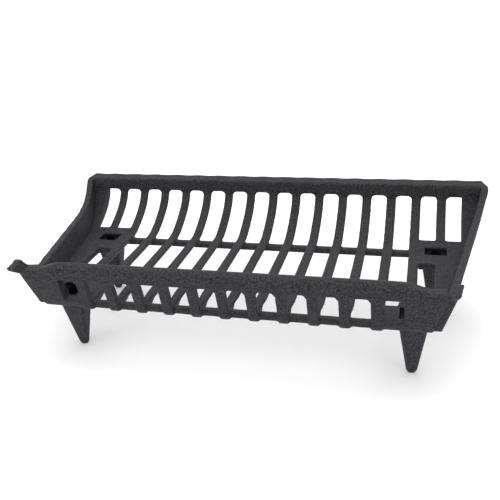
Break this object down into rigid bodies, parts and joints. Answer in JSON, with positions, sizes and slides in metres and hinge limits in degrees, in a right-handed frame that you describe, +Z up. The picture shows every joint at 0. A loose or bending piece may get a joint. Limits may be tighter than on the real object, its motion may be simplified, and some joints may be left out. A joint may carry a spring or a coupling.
{
  "type": "log grate",
  "caption": "Cast-iron log grate with J-shaped bars, a tall curved back, a low front rail, flared ends with blunt horns, and tapered legs.",
  "frame": {"origin": "on the hearth, under the middle of the grate's bounding box", "axes": "+X to the right seen from the front, +Y to the tall back, +Z up"},
  "size_m": [0.6836, 0.3612, 0.1739],
  "materials": {
    "bars": "as-cast, matt charcoal",
    "rails": "as-cast, matt charcoal",
    "ends": "as-cast, matt charcoal",
    "pads": "as-cast, matt charcoal",
    "legs": "as-cast, matt charcoal",
    "fixings": "black oxide"
  },
  "bodies": {
    "root": {"back_rail": "rails", "front_rail": "rails", "bar_01": "bars", "bar_02": "bars", "bar_03": "bars", "bar_04": "bars", "bar_05": "bars", "bar_06": "bars", "bar_07": "bars", "bar_08": "bars", "bar_09": "bars", "bar_10": "bars", "bar_11": "bars", "bar_12": "bars", "bar_13": "bars", "bar_14": "bars", "bar_15": "bars", "middle_rail": "rails", "sole_rail": "rails", "end_plate_left": "ends", "end_plate_right": "ends", "rear_pad_left": "pads", "rear_pad_right": "pads", "front_corner_left": "pads", "front_corner_right": "pads", "leg_front_left": "legs", "leg_front_right": "legs", "leg_rear_left": "legs", "leg_rear_right": "legs", "leg_bolt_front_left": "fixings", "leg_bolt_front_right": "fixings", "leg_bolt_rear_left": "fixings", "leg_bolt_rear_right": "fixings", "leg_nut_front_left": "fixings", "leg_nut_front_right": "fixings", "leg_nut_rear_left": "fixings", "leg_nut_rear_right": "fixings"}
  },
  "joints": []
}
